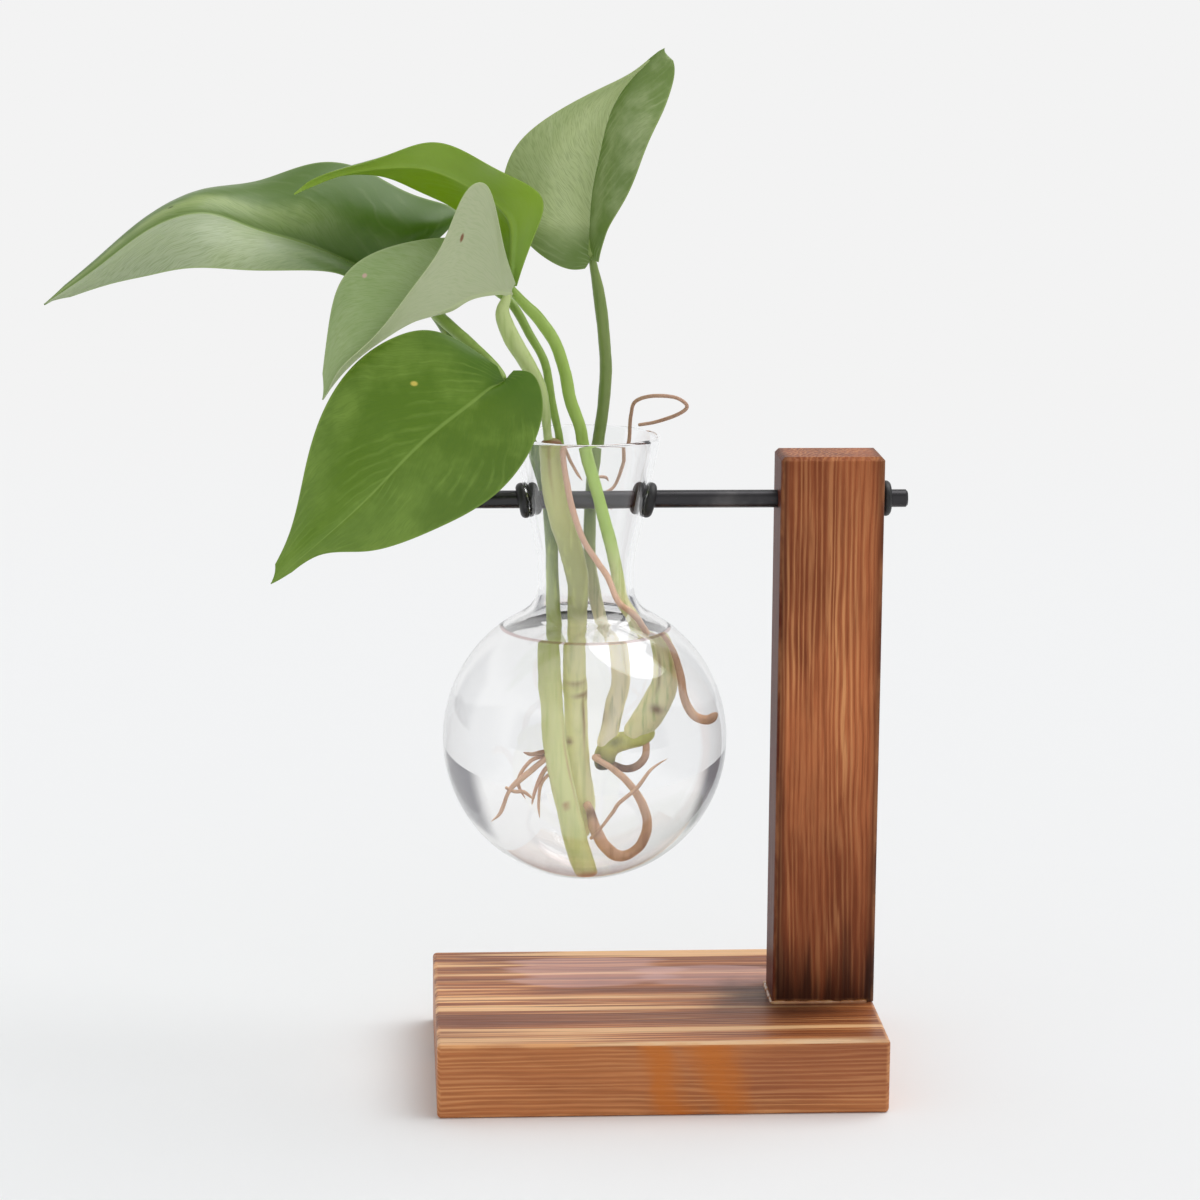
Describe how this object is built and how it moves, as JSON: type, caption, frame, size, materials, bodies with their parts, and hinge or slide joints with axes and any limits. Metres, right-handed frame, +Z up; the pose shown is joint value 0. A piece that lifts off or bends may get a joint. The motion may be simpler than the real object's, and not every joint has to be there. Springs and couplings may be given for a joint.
{
  "type": "propagation vase",
  "caption": "Glass bulb vase with a flared neck, hung on a steel rod from an L-shaped wooden stand, with rooted vine cuttings and heart-shaped leaves.",
  "frame": {"origin": "centre of the base board's underside", "axes": "+Z up, +X along the rod towards the post, -Y to the front"},
  "size_m": [0.2389, 0.089, 0.2892],
  "materials": {
    "base_wood": "stained pine, clear lacquer",
    "post_wood": "torched and stained pine, satin",
    "glue": "dried honey-coloured glue",
    "screw_steel": "zinc-plated",
    "rod_steel": "satin black",
    "rubber": "matt",
    "glass": "clear blown glass",
    "leaf": "waxy leaf",
    "stem": "smooth green stalk",
    "sheath": "pale papery sheath",
    "vine": "green vine with brown nodes",
    "root": "brown-pink root"
  },
  "bodies": {
    "stand": {"base_block": "base_wood", "post": "post_wood", "glue_bead": "glue", "post_screws": "screw_steel"},
    "rod": {"rod": "rod_steel", "stop_ring": "rubber"},
    "vase": {"glass_vase": "glass", "grommet_right": "rubber", "grommet_left": "rubber", "leaf_front": "leaf", "leaf_upright": "leaf", "leaf_left": "leaf", "leaf_folded": "leaf", "leaf_arched": "leaf", "petiole_front": "stem", "petiole_upright": "stem", "petiole_arched": "stem", "petiole_left": "stem", "petiole_folded": "sheath", "vine_left": "vine", "vine_middle": "vine", "vine_offcut": "vine", "root_long": "root", "root_curl": "root", "root_hook": "root", "root_loop": "root", "roots_left": "root", "roots_right": "root", "roots_neck": "root"}
  },
  "joints": [
    {"name": "rod_slide", "type": "slide", "parent": "stand", "child": "rod", "axis": [1, 0, 0], "range_m": [0, 0.013]},
    {"name": "vase_swing", "type": "hinge", "parent": "rod", "child": "vase", "pos_m": [0, 0, 0.165], "axis": [1, 0, 0], "range_deg": [-55, 55]}
  ]
}
